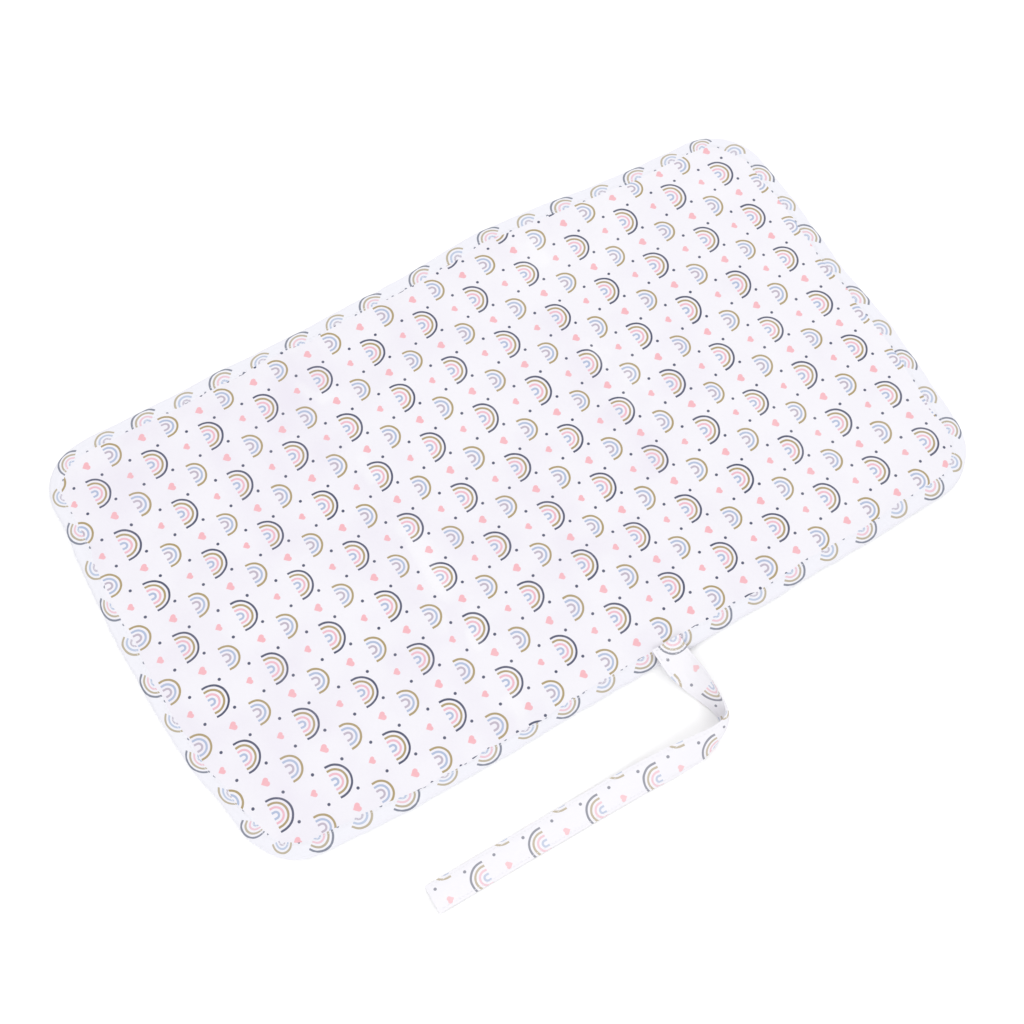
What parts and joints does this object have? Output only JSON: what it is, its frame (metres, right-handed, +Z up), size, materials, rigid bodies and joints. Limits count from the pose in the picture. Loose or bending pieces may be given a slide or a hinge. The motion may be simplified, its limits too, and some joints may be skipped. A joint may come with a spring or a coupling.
{
  "type": "changing mat",
  "caption": "Thin padded fold-up baby changing mat in printed cotton, with bound edges, side panels that fold over the middle and a sewn tie strap.",
  "frame": {"origin": "centre of the mat's underside, on the surface that it lies on", "axes": "+X along the long side, with the left panel at -X; the front edge with the strap is at -Y; +Z up out of the padded face"},
  "size_m": [0.6, 0.42, 0.006],
  "materials": {
    "printed_fabric": "woven cotton with a printed arch, heart and cloud pattern",
    "binding_fabric": "the same printed cotton, folded over the edge",
    "strap_fabric": "the same printed cotton, two layers sewn flat",
    "backing_fabric": "plain woven cotton",
    "wadding": "soft polyester wadding",
    "liner_film": "thin waterproof film",
    "thread": "spun polyester sewing thread"
  },
  "bodies": {
    "middle_panel": {"back_cover_middle": "backing_fabric", "wadding_middle": "wadding", "waterproof_liner_middle": "liner_film", "top_cover_middle": "printed_fabric", "binding_middle_front": "binding_fabric", "binding_stitch_middle_front": "thread", "binding_middle_back": "binding_fabric", "binding_stitch_middle_back": "thread", "strap_root": "strap_fabric", "strap_box_stitch": "thread"},
    "left_panel": {"back_cover_left": "backing_fabric", "wadding_left": "wadding", "waterproof_liner_left": "liner_film", "top_cover_left": "printed_fabric", "binding_left": "binding_fabric", "binding_stitch_left": "thread"},
    "right_panel": {"back_cover_right": "backing_fabric", "wadding_right": "wadding", "waterproof_liner_right": "liner_film", "top_cover_right": "printed_fabric", "binding_right": "binding_fabric", "binding_stitch_right": "thread"},
    "strap_near_part": {"strap_near": "strap_fabric", "strap_near_stitch": "thread"},
    "strap_free_part": {"strap_free": "strap_fabric", "strap_free_stitch": "thread"}
  },
  "joints": [
    {"name": "left_fold", "type": "hinge", "parent": "middle_panel", "child": "left_panel", "pos_m": [-0.1, 0, 0.00565], "axis": [0, 1, 0], "range_deg": [0, 179.5]},
    {"name": "right_fold", "type": "hinge", "parent": "middle_panel", "child": "right_panel", "pos_m": [0.1, 0, 0.00915], "axis": [0, -1, 0], "range_deg": [0, 179.5]},
    {"name": "strap_lift", "type": "hinge", "parent": "middle_panel", "child": "strap_near_part", "pos_m": [0.02, -0.1764, 0.0052], "axis": [-1, 0, 0], "range_deg": [0, 90]},
    {"name": "strap_unfold", "type": "hinge", "parent": "strap_near_part", "child": "strap_free_part", "pos_m": [0.02, -0.234, 0.00135], "axis": [0.7071, 0.7071, 0], "range_deg": [0, 179.5]}
  ]
}
